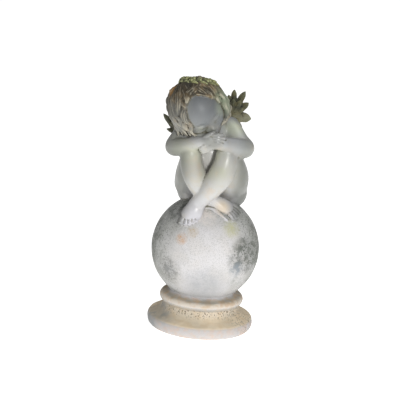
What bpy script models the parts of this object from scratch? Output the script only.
"""Garden statue in cast stone: a winged child asleep on folded arms, seated on a ball with a turned foot.

The whole statue is one casting. Metres, +Z up, the front faces -Y, and the origin is the centre of the
underside. The child keeps its pose as shares of its own height and sits wherever the ball puts it.
"""
import bpy
import bmesh
from math import asin, cos, pi, radians, sin, sqrt
from mathutils import Matrix, Vector

for old in list(bpy.data.objects):
    bpy.data.objects.remove(old, do_unlink=True)

# The ball and the foot under it
BALL_RADIUS = 0.1045
FOOT_HEIGHT = 0.053
PLINTH_RADIUS = 0.1030
PLINTH_HEIGHT = 0.024
WAIST_RADIUS = 0.0735
TORUS_RADIUS = 0.0815
TORUS_HEIGHT = 0.018
COLLAR_RADIUS = 0.064

# The child, from the top of the ball to the top of its hair
FIGURE_HEIGHT = 0.245
HEAD_WIDTH = 0.087
LOCK_WIDTH = 0.0105
LEAF_LENGTH = 0.017
FEATHER_THICKNESS = 0.008

# How finely the child's form is worked before it is joined to the ball
FORM_GRAIN = 0.0026
FORM_SHARE = 0.075
SMALLEST_SHELL = 400

BALL = Vector((0, 0, FOOT_HEIGHT + BALL_RADIUS))
SEAT = Vector((0, 0, FOOT_HEIGHT + 2 * BALL_RADIUS))
UNIT = FIGURE_HEIGHT / 245


def body(x, y, z):
    """A point of the child, in 245ths of its height from the place it sits on."""
    return SEAT + Vector((x, y, z)) * UNIT


def on_ball(x, latitude, lift):
    """A point in front of the ball's axis, x to the side, at a latitude, lifted off the surface."""
    reach = BALL_RADIUS + lift * UNIT
    across = sqrt(reach * reach - (x * UNIT) ** 2)
    turn = radians(latitude)
    return BALL + Vector((x * UNIT, -cos(turn) * across, sin(turn) * across))


def curve_through(stations, steps):
    """Rounds a run of (point, half width, half depth) stations into closer ones."""
    fine = []
    last = len(stations) - 1
    for i in range(last):
        near = [stations[max(0, min(last, i + k))] for k in (-1, 0, 1, 2)]
        for step in range(steps):
            t = step / steps
            mix = (
                -0.5 * t + t * t - 0.5 * t ** 3,
                1 - 2.5 * t * t + 1.5 * t ** 3,
                0.5 * t + 2 * t * t - 1.5 * t ** 3,
                -0.5 * t * t + 0.5 * t ** 3,
            )
            point = sum((near[k][0] * mix[k] for k in range(4)), Vector())
            half_width = sum(near[k][1] * mix[k] for k in range(4))
            half_depth = sum(near[k][2] * mix[k] for k in range(4))
            fine.append((point, half_width, half_depth))
    fine.append(stations[last])
    return fine


def loft(form, stations, hint, steps=3, sides=12):
    """Skins a run of oval sections and rounds both ends; sections are wide towards the hint."""
    run = curve_through(stations, steps)
    count = len(run)
    rings = []

    def add_ring(point, along, half_width, half_depth):
        across = (hint - along * hint.dot(along)).normalized()
        normal = along.cross(across)
        ring = []
        for k in range(sides):
            turn = 2 * pi * k / sides
            place = point + across * (cos(turn) * half_width) + normal * (sin(turn) * half_depth)
            ring.append(form.verts.new(place))
        rings.append(ring)

    first_way = (run[1][0] - run[0][0]).normalized()
    last_way = (run[-1][0] - run[-2][0]).normalized()
    for share in (0.94, 0.6):
        point, half_width, half_depth = run[0]
        keep = sqrt(1 - share * share)
        bulge = min(half_width, half_depth) * share
        add_ring(point - first_way * bulge, first_way, half_width * keep, half_depth * keep)
    for i, (point, half_width, half_depth) in enumerate(run):
        way = (run[min(i + 1, count - 1)][0] - run[max(i - 1, 0)][0]).normalized()
        add_ring(point, way, half_width, half_depth)
    for share in (0.6, 0.94):
        point, half_width, half_depth = run[-1]
        keep = sqrt(1 - share * share)
        bulge = min(half_width, half_depth) * share
        add_ring(point + last_way * bulge, last_way, half_width * keep, half_depth * keep)
    for low, high in zip(rings, rings[1:]):
        for k in range(sides):
            after = (k + 1) % sides
            form.faces.new((low[k], low[after], high[after], high[k]))
    form.faces.new(list(reversed(rings[0])))
    form.faces.new(rings[-1])


def limb(form, joints, hint, sides=16):
    """A round limb through (x, y, z, radius) joints of the child."""
    stations = []
    for x, y, z, radius in joints:
        stations.append((body(x, y, z), radius * UNIT, radius * UNIT))
    loft(form, stations, hint, 4, sides)


def oval(form, centre, radii, turn=Matrix.Identity(3), segments=20):
    """An egg of flesh with its own three radii."""
    size = Matrix.Diagonal(Vector(radii) * UNIT)
    place = Matrix.Translation(centre) @ (turn @ size).to_4x4()
    bmesh.ops.create_uvsphere(form, u_segments=segments, v_segments=segments // 2, radius=1, matrix=place)


def add_trunk(form):
    """Back, belly, chest, shoulders and seat."""
    spine = [
        (0, 22, 16, 49, 37),
        (0, 21, 40, 50, 39),
        (0, 17, 66, 43, 35),
        (0, 9, 96, 45, 33),
        (-2, -3, 122, 43, 28),
        (-6, -16, 142, 26, 22),
        (-14, -26, 158, 20, 20),
        (-24, -36, 172, 18, 18),
    ]
    stations = []
    for x, y, z, half_width, half_depth in spine:
        stations.append((body(x, y, z), half_width * UNIT, half_depth * UNIT))
    loft(form, stations, Vector((1, 0, 0)), 4, 24)
    for side in (-1, 1):
        oval(form, body(30 * side, 27, 14), (35, 34, 33))
        oval(form, body(36 * side + 3, 14, 7), (32, 32, 32))
        oval(form, body(18 * side, 26, 118), (17, 12, 24))


def add_legs(form):
    """Knees drawn up to the arms; the left shin crosses in front of the right."""
    forward = Vector((1, 0, 0))
    sideways = Vector((0, -1, 0))
    left_thigh = [(36, 16, 20, 37), (40, -20, 48, 32), (34, -50, 80, 26), (26, -63, 99, 21)]
    right_thigh = [(-34, 16, 20, 36), (-38, -18, 48, 30), (-41, -48, 80, 21), (-42, -63, 98, 18)]
    limb(form, left_thigh, forward, 18)
    limb(form, right_thigh, forward, 18)
    left_ankle = on_ball(-22, 61, 15)
    right_ankle = on_ball(-2, 66.5, 16)
    left_shin = [
        (body(27, -66, 99), 21, 20),
        (body(25, -71, 82), 22, 20),
        (body(18, -72, 60), 24, 22),
        (body(5, -71, 36), 21, 21),
        (body(-11, -67, 13), 16, 17),
        (left_ankle, 14.5, 15),
    ]
    right_shin = [
        (body(-42, -66, 98), 20, 19),
        (body(-40, -64, 80), 21, 20),
        (body(-33, -60, 58), 22.5, 22),
        (body(-22, -56, 33), 20, 20),
        (body(-11, -50, 16), 16, 16),
        (right_ankle, 14, 14),
    ]
    for shin in (left_shin, right_shin):
        stations = [(place, wide * UNIT, deep * UNIT) for place, wide, deep in shin]
        loft(form, stations, sideways.cross(Vector((0, 0, 1))), 4, 18)


def add_foot(form, instep, toes, hint):
    """A foot that follows the ball, from ankle to toe roots, and its five toes."""
    stations = []
    for x, latitude, lift, half_width, half_height in instep:
        stations.append((on_ball(x, latitude, lift), half_width * UNIT, half_height * UNIT))
    loft(form, stations, hint, 3, 16)
    for root_x, root_latitude, tip_x, tip_latitude, radius in toes:
        root = on_ball(root_x, root_latitude, radius + 1)
        tip = on_ball(tip_x, tip_latitude, radius - 1)
        middle = (root + tip) / 2 + (root - BALL).normalized() * 1.2 * UNIT
        thin = radius * 0.88 * UNIT
        stations = [(root, thin, thin), (middle, thin, thin), (tip, radius * UNIT, radius * 0.92 * UNIT)]
        loft(form, stations, hint, 2, 10)


def add_feet(form):
    """Both feet on the ball: the left one points down and out, the right one lies across."""
    left_instep = [
        (-21, 62, 16, 15, 15),
        (-26, 55, 11, 18, 12.5),
        (-31, 50, 8, 20, 9.5),
        (-34.5, 46.5, 5.5, 19, 7.5),
    ]
    left_toes = [
        (-44, 48, -49.5, 42.6, 6.6),
        (-38, 46.5, -41, 40.4, 4.9),
        (-31.5, 46.5, -33.8, 40.3, 4.6),
        (-26, 47, -27, 41.6, 4.3),
        (-21, 48.5, -20.8, 43.7, 3.9),
    ]
    add_foot(form, left_instep, left_toes, Vector((0.92, 0.2, 0.3)))
    right_instep = [
        (-2, 67, 15, 14, 14),
        (12, 66, 11, 13, 12),
        (27, 64.5, 8.5, 14.5, 9.5),
        (40, 64, 6, 15, 7.5),
    ]
    right_toes = [
        (45, 71, 57, 72.5, 6.2),
        (46.5, 66, 58.5, 65.5, 4.7),
        (45.5, 62.3, 56.5, 60.4, 4.4),
        (43.5, 59, 53, 56.3, 4.1),
        (40, 56.4, 47.5, 53.2, 3.8),
    ]
    add_foot(form, right_instep, right_toes, Vector((-0.1, 0.6, 0.8)))
    edge = [(-6, 61, 1, 4, 3), (8, 60.5, 1.5, 4, 3), (22, 55, 1.5, 4, 3), (36, 49, 0.5, 3, 2)]
    stations = []
    for x, latitude, lift, half_width, half_height in edge:
        stations.append((on_ball(x, latitude, lift), half_width * UNIT, half_height * UNIT))
    loft(form, stations, Vector((0, 0.6, 0.8)), 3, 10)


def add_arms(form):
    """Forearms folded on the knees, the right hand over the left forearm."""
    up = Vector((0, 0, 1))
    left_arm = [
        (27, 2, 137, 22),
        (37, -12, 131, 18),
        (49, -30, 119, 17),
        (59, -46, 110, 18),
        (47, -60, 109, 18),
        (30, -69, 112, 16),
        (14, -76, 114, 13),
        (2, -80, 115, 11.5),
    ]
    right_arm = [
        (-40, 0, 137, 22),
        (-54, -12, 129, 19),
        (-68, -32, 112, 17.5),
        (-73, -46, 103, 17),
        (-60, -59, 105, 17),
        (-42, -70, 112, 15),
        (-26, -79, 118, 12.5),
        (-14, -84, 122, 11),
    ]
    limb(form, left_arm, up)
    limb(form, right_arm, up)
    right_palm = [(body(-12, -86, 122), 11, 8), (body(-3, -90, 124), 12, 7.5), (body(5, -91, 123), 11, 6.5)]
    left_palm = [(body(4, -80, 112), 11, 8), (body(-6, -81, 108), 11, 7), (body(-12, -81, 105), 10, 6)]
    for palm in (right_palm, left_palm):
        stations = [(place, wide * UNIT, deep * UNIT) for place, wide, deep in palm]
        loft(form, stations, up, 3, 14)
    for k in range(4):
        drop = 6.2 * k
        finger = [
            (body(3, -92, 132 - drop), 3.6, 3.4),
            (body(11, -94 + 0.4 * k, 131 - drop), 3.7, 3.5),
            (body(18 - 0.8 * k, -91 + 0.6 * k, 129 - drop), 3.3, 3.2),
        ]
        stations = [(place, wide * UNIT, deep * UNIT) for place, wide, deep in finger]
        loft(form, stations, up, 2, 9)
    for k in range(3):
        finger = [
            (body(-9, -84 + 3 * k, 109 - 4 * k), 3.6, 3.4),
            (body(-17, -86 + 3 * k, 106 - 4 * k), 3.6, 3.4),
            (body(-24 + k, -85 + 3 * k, 104 - 4 * k), 3.2, 3.1),
        ]
        stations = [(place, wide * UNIT, deep * UNIT) for place, wide, deep in finger]
        loft(form, stations, up, 2, 9)


# The head turned to its left, bowed and leaning on its right cheek
FACE_WAY = Vector((0.45, -0.85, -0.29)).normalized()
LEFT_WAY = Vector((-0.50, -0.42, 0.73)).cross(FACE_WAY).normalized()
CROWN_WAY = FACE_WAY.cross(LEFT_WAY)
HEAD_TURN = Matrix((LEFT_WAY, FACE_WAY, CROWN_WAY)).transposed()
HEAD_PLACE = body(-34, -43, 180)
HEAD_UNIT = HEAD_WIDTH / 84


def head(left, ahead, above):
    """A point of the head, in 84ths of its width from the middle of the skull."""
    return HEAD_PLACE + HEAD_TURN @ (Vector((left, ahead, above)) * HEAD_UNIT)


def skull(azimuth, fall, lift):
    """A point over the skull: azimuth from the face round to the left ear, fall from the crown."""
    turn = radians(azimuth)
    drop = radians(fall)
    ahead = cos(turn) * sin(drop)
    depth = 43 if ahead > 0 else 50
    return head(
        (42 + lift) * sin(turn) * sin(drop),
        (depth + lift) * ahead,
        (48 + lift) * cos(drop),
    )


# Each feature: middle (left, ahead, above), spread the same way, and push the same way
FACE_FEATURES = [
    ((0, 40, 20), (24, 20, 16), (0, 2.5, 0)),
    ((16, 38, -3), (8.5, 14, 6), (0, -6, 0)),
    ((-16, 38, -3), (8.5, 14, 6), (0, -6, 0)),
    ((16, 36, -5), (6, 12, 4), (0, 4, 0)),
    ((-16, 36, -5), (6, 12, 4), (0, 4, 0)),
    ((0, 42, -6), (4, 14, 8), (0, 4, 0)),
    ((0, 44, -17), (5, 14, 4.5), (0, 10, 0)),
    ((6, 40, -19), (3, 12, 3), (0, 3.5, 0)),
    ((-6, 40, -19), (3, 12, 3), (0, 3.5, 0)),
    ((0, 38, -31), (9, 14, 5), (0, 4, 0)),
    ((0, 38, -32.2), (10, 14, 1.3), (0, -2.5, 0)),
    ((0, 34, -39), (9, 14, 2.6), (0, -2, 0)),
    ((0, 28, -47), (10, 16, 7), (0, 7, -2)),
    ((23, 26, -22), (11, 14, 11), (4, 5, 0)),
    ((-23, 26, -22), (11, 14, 11), (-4, 5, 0)),
]


def add_head(form):
    """Skull and face in one skin, then the ears."""
    made = bmesh.ops.create_uvsphere(form, u_segments=56, v_segments=36, radius=1)
    for vert in made["verts"]:
        way = vert.co.copy()
        low = max(0.0, -way.z)
        left = 42 * way.x * (1 - 0.3 * low * low)
        ahead = (42 if way.y > 0 else 50) * way.y * (1 - 0.12 * low)
        above = (48 if way.z > 0 else 55) * way.z
        push = Vector()
        for middle, spread, shift in FACE_FEATURES:
            gap = (
                ((left - middle[0]) / spread[0]) ** 2
                + ((ahead - middle[1]) / spread[1]) ** 2
                + ((above - middle[2]) / spread[2]) ** 2
            )
            push += Vector(shift) * 2.718281828 ** (-gap / 2)
        vert.co = head(left + push.x, ahead + push.y, above + push.z)
    for side in (-1, 1):
        ear = [(head(39 * side, -4, 4), 8, 4.5), (head(43 * side, -5, -5), 9, 4.5), (head(39 * side, -1, -15), 5, 4)]
        stations = [(place, wide * HEAD_UNIT, deep * HEAD_UNIT) for place, wide, deep in ear]
        stations = [(place, wide * UNIT, deep * UNIT) for place, wide, deep in ear]
        loft(form, stations, FACE_WAY, 2, 10)


def hairline(azimuth):
    """How far the hair comes down from the crown: high over the brow, low at the nape."""
    side = min(1.0, max(0.0, (abs(azimuth) - 32) / 46))
    back = min(1.0, max(0.0, (abs(azimuth) - 90) / 90))
    return 35 + 65 * side * side * (3 - 2 * side) + 30 * back


def add_hair(form):
    """A thick cap of hair and wavy locks that start from a whorl behind the crown."""
    made = bmesh.ops.create_uvsphere(form, u_segments=48, v_segments=32, radius=1)
    for vert in made["verts"]:
        way = vert.co.normalized()
        flat = Vector((way.x, way.y))
        azimuth = 0 if flat.length < 1e-6 else flat.angle_signed(Vector((0, 1))) * -180 / pi
        fall = Vector((0, 0, 1)).angle(way) * 180 / pi
        depth = hairline(azimuth) - fall
        lift = 6.5 if depth > 12 else (6.5 - 11 * (12 - depth) / 24 if depth > -12 else -4.5)
        vert.co = skull(azimuth, fall, lift)
    locks = 22
    for k in range(locks):
        azimuth = -180 + 360 * (k + 0.5) / locks
        end = hairline(azimuth) + 6 * (-1) ** k
        stations = []
        for step in range(5):
            share = step / 4
            fall = 16 + (end - 16) * share
            sway = 9 * sin(share * 7 + k * 2.1) * share
            lift = (8 + 2.2 * sin(share * pi) + 1.3 * (k % 3)) * (1 - 0.6 * share * share)
            half = 0.5 * LOCK_WIDTH * (0.75 + 0.55 * sin(share * pi))
            stations.append((skull(azimuth + sway, fall, lift), half * 1.25, half * 0.8))
        loft(form, stations, skull(azimuth + 90, 90, 0) - HEAD_PLACE, 2, 8)


def add_long_locks(form):
    """Long waves that fall from the right temple to the right forearm, and short ones at the left."""
    falls = [
        [(-79, -52, 196), (-80, -58, 176), (-72, -64, 160), (-66, -66, 144), (-56, -68, 130)],
        [(-73, -66, 200), (-71, -73, 180), (-64, -76, 160), (-58, -76, 144), (-48, -76, 132)],
        [(-85, -36, 186), (-84, -44, 168), (-76, -52, 150), (-70, -56, 136), (-62, -60, 126)],
        [(-62, -78, 196), (-60, -83, 178), (-54, -84, 160), (-46, -84, 146), (-38, -82, 136)],
        [(-84, -22, 170), (-80, -30, 152), (-74, -38, 138), (-68, -46, 128)],
        [(-78, -8, 166), (-70, -8, 146), (-62, -6, 132), (-56, 0, 122)],
        [(-52, -86, 182), (-50, -88, 166), (-44, -87, 152), (-34, -84, 140)],
        [(8, -34, 216), (17, -30, 200), (19, -24, 182), (18, -16, 164), (15, -8, 150)],
        [(14, -22, 206), (22, -16, 190), (23, -8, 174), (20, -2, 158), (18, 4, 146)],
        [(2, -12, 214), (10, -2, 198), (14, 6, 180), (12, 10, 162)],
    ]
    for n, fall in enumerate(falls):
        stations = []
        for i, (x, y, z) in enumerate(fall):
            share = i / (len(fall) - 1)
            half = LOCK_WIDTH * (0.72 - 0.28 * share)
            sway = 2.2 * sin(2.6 * i + n)
            stations.append((body(x + sway, y, z), half * 1.1, half * 0.85))
        loft(form, stations, Vector((0.6, -0.6, 0)), 3, 9)
    curls = [
        (-82, -34, 208, 10),
        (-76, -48, 215, 9),
        (-86, -28, 197, 8),
        (-62, -56, 226, 9),
        (-48, -78, 216, 7),
        (-36, -86, 210, 7),
    ]
    for x, y, z, radius in curls:
        oval(form, body(x, y, z), (radius, radius * 0.9, radius), Matrix.Identity(3), 12)


def leaf(form, root, tip, face, half_width, thickness):
    """A leaf from root to tip, flat towards the way it faces."""
    way = tip - root
    across = way.cross(face).normalized()
    rise = face.normalized()
    stations = [
        (root, half_width * 0.35, thickness),
        (root + way * 0.35 + rise * thickness * 0.8, half_width, thickness),
        (root + way * 0.7 + rise * thickness * 0.7, half_width * 0.72, thickness * 0.9),
        (tip, half_width * 0.16, thickness * 0.6),
    ]
    loft(form, stations, across, 2, 8)


def add_wreath(form):
    """A ring of leaves and small flowers round the crown."""
    count = 18
    for k in range(count):
        azimuth = 360 * k / count
        fall = 38 - 8 * cos(radians(azimuth))
        root = skull(azimuth, fall, 9)
        outward = (root - HEAD_PLACE).normalized()
        for side in (-1, 1):
            tip = skull(azimuth + 17, fall + 10 * side, 13 + 2 * (k % 2))
            leaf(form, root, tip, outward, LEAF_LENGTH * 0.27, LEAF_LENGTH * 0.13)
        if k % 3 == 0:
            place = skull(azimuth + 8, fall, 14)
            oval(form, place, (4.6, 4.6, 4.6), Matrix.Identity(3), 8)


def feather(form, root, tip, half_width, bend):
    """One flight feather: a rounded blade from the wing's edge to its tip."""
    middle = (root + tip) / 2 + bend * UNIT
    half = FEATHER_THICKNESS / 2
    stations = [
        (root, half_width * 0.7 * UNIT, half),
        (middle, half_width * UNIT, half),
        (tip, half_width * 0.5 * UNIT, half * 0.75),
    ]
    loft(form, stations, (tip - root).cross(Vector((0.15, 1, 0.1))), 3, 10)


def add_wings(form):
    """Two short wings raised behind the shoulders."""
    left_wing = [
        (body(26, 24, 172), body(22, 24, 195), 5),
        (body(32, 24, 174), body(32, 24, 206), 6),
        (body(38, 24, 172), body(53, 24, 204), 6.5),
        (body(42, 25, 164), body(61, 25, 182), 6.5),
        (body(36, 26, 152), body(67, 26, 151), 10.5),
        (body(30, 27, 136), body(50, 28, 134), 8),
    ]
    right_wing = [
        (body(-70, 24, 122), body(-100, 24, 150), 5.5),
        (body(-62, 24, 110), body(-90, 24, 117), 5),
        (body(-58, 26, 134), body(-78, 27, 158), 5.5),
        (body(-46, 27, 144), body(-60, 28, 172), 6),
        (body(-40, 28, 120), body(-62, 30, 112), 8),
    ]
    coverts = [
        ([(15, 26, 112), (23, 29, 134), (31, 27, 156), (37, 24, 171)], (9, 14, 19, 13)),
        ([(-19, 26, 110), (-34, 31, 128), (-52, 29, 136), (-66, 25, 132)], (9, 13, 15, 10)),
    ]
    for root, tip, half_width in left_wing + right_wing:
        feather(form, root, tip, half_width, Vector((0, 3, 1)))
    for run, widths in coverts:
        stations = []
        for (x, y, z), half_width in zip(run, widths):
            stations.append((body(x, y, z), half_width * UNIT, 5.5 * UNIT))
        loft(form, stations, Vector((1, 0, -0.6)), 3, 14)


def new_object(name, form, collection):
    mesh = bpy.data.meshes.new(name)
    bmesh.ops.recalc_face_normals(form, faces=form.faces)
    form.to_mesh(mesh)
    form.free()
    thing = bpy.data.objects.new(name, mesh)
    collection.objects.link(thing)
    return thing


def drop_bubbles(form):
    """Removes the small closed pockets that merging leaves inside the skin."""
    waiting = set(form.verts)
    while waiting:
        shell = [waiting.pop()]
        for vert in shell:
            for edge in vert.link_edges:
                other = edge.other_vert(vert)
                if other in waiting:
                    waiting.remove(other)
                    shell.append(other)
        if len(shell) < SMALLEST_SHELL:
            bmesh.ops.delete(form, geom=shell, context="VERTS")
            waiting = {vert for vert in waiting if vert.is_valid}


def hide_helper(thing):
    thing.hide_render = True
    thing.display_type = "WIRE"


statue_parts = bpy.data.collections.new("garden_putto")
helper_parts = bpy.data.collections.new("garden_putto_helpers")
bpy.context.scene.collection.children.link(statue_parts)
bpy.context.scene.collection.children.link(helper_parts)

# Cast stone, pale cream grey
stone = bpy.data.materials.new("cast_stone")
stone.use_nodes = True
shader = stone.node_tree.nodes["Principled BSDF"]
shader.inputs["Base Color"].default_value = (0.60, 0.58, 0.53, 1)
shader.inputs["Roughness"].default_value = 0.7
shader.inputs["Metallic"].default_value = 0.0

# The child: forms merged into one skin, softened, then faceted
child_form = bmesh.new()
add_trunk(child_form)
add_legs(child_form)
add_feet(child_form)
add_arms(child_form)
add_head(child_form)
add_hair(child_form)
add_long_locks(child_form)
add_wreath(child_form)
add_wings(child_form)
child = new_object("child_form", child_form, helper_parts)
hide_helper(child)
merge = child.modifiers.new("merge", "REMESH")
merge.mode = "VOXEL"
merge.voxel_size = FORM_GRAIN
soften = child.modifiers.new("soften", "SMOOTH")
soften.factor = 0.5
soften.iterations = 3
bpy.context.view_layer.update()
skin = bmesh.new()
skin.from_object(child, bpy.context.evaluated_depsgraph_get())
drop_bubbles(skin)
child.modifiers.clear()
skin.to_mesh(child.data)
skin.free()
facet = child.modifiers.new("facet", "DECIMATE")
facet.ratio = FORM_SHARE
facet.use_collapse_triangulate = True

# The ball
bpy.ops.mesh.primitive_uv_sphere_add(segments=44, ring_count=22, radius=BALL_RADIUS, location=BALL)
ball = bpy.context.object
ball.name = "ball_form"
for holder in list(ball.users_collection):
    holder.objects.unlink(ball)
helper_parts.objects.link(ball)
hide_helper(ball)


def foot_profile():
    """Half the turned foot, from the rim at the top of the collar down to the underside."""
    points = [(0.0, FOOT_HEIGHT + 0.030)]
    ball_edge = FOOT_HEIGHT + BALL_RADIUS
    collar_top = FOOT_HEIGHT + 0.0195
    points.append((COLLAR_RADIUS - 0.006, collar_top + 0.0075))
    points.append((COLLAR_RADIUS - 0.001, collar_top))
    points.append((COLLAR_RADIUS + 0.003, collar_top - 0.004))
    torus_middle = FOOT_HEIGHT + 0.005
    neck = TORUS_RADIUS - TORUS_HEIGHT / 2
    for k in range(9):
        turn = radians(78 - 156 * k / 8)
        points.append((neck + TORUS_HEIGHT / 2 * cos(turn), torus_middle + TORUS_HEIGHT / 2 * sin(turn)))
    scotia_top = torus_middle - TORUS_HEIGHT / 2
    points.append((WAIST_RADIUS, scotia_top - 0.002))
    points.append((WAIST_RADIUS + 0.0005, scotia_top - 0.0065))
    points.append((WAIST_RADIUS + 0.006, PLINTH_HEIGHT + 0.0085))
    points.append((WAIST_RADIUS + 0.017, PLINTH_HEIGHT + 0.0025))
    points.append((PLINTH_RADIUS - 0.004, PLINTH_HEIGHT - 0.0005))
    points.append((PLINTH_RADIUS - 0.0012, PLINTH_HEIGHT * 0.84))
    points.append((PLINTH_RADIUS, PLINTH_HEIGHT * 0.6))
    points.append((PLINTH_RADIUS - 0.0008, PLINTH_HEIGHT * 0.34))
    points.append((PLINTH_RADIUS - 0.004, PLINTH_HEIGHT * 0.1))
    points.append((PLINTH_RADIUS - 0.0065, 0.0))
    points.append((0.0, 0.0))
    return points


profile = bmesh.new()
corners = [profile.verts.new((radius, 0, height)) for radius, height in foot_profile()]
for upper, lower in zip(corners, corners[1:]):
    profile.edges.new((upper, lower))
mesh = bpy.data.meshes.new("putto_statue")
profile.to_mesh(mesh)
profile.free()
statue = bpy.data.objects.new("putto_statue", mesh)
statue_parts.objects.link(statue)
mesh.materials.append(stone)
turned = statue.modifiers.new("turned", "SCREW")
turned.axis = "Z"
turned.angle = 2 * pi
turned.steps = 44
turned.render_steps = 44
turned.use_merge_vertices = True
turned.merge_threshold = 0.00001
for helper in (ball, child):
    join = statue.modifiers.new("join " + helper.name, "BOOLEAN")
    join.operation = "UNION"
    join.solver = "MANIFOLD"
    join.object = helper
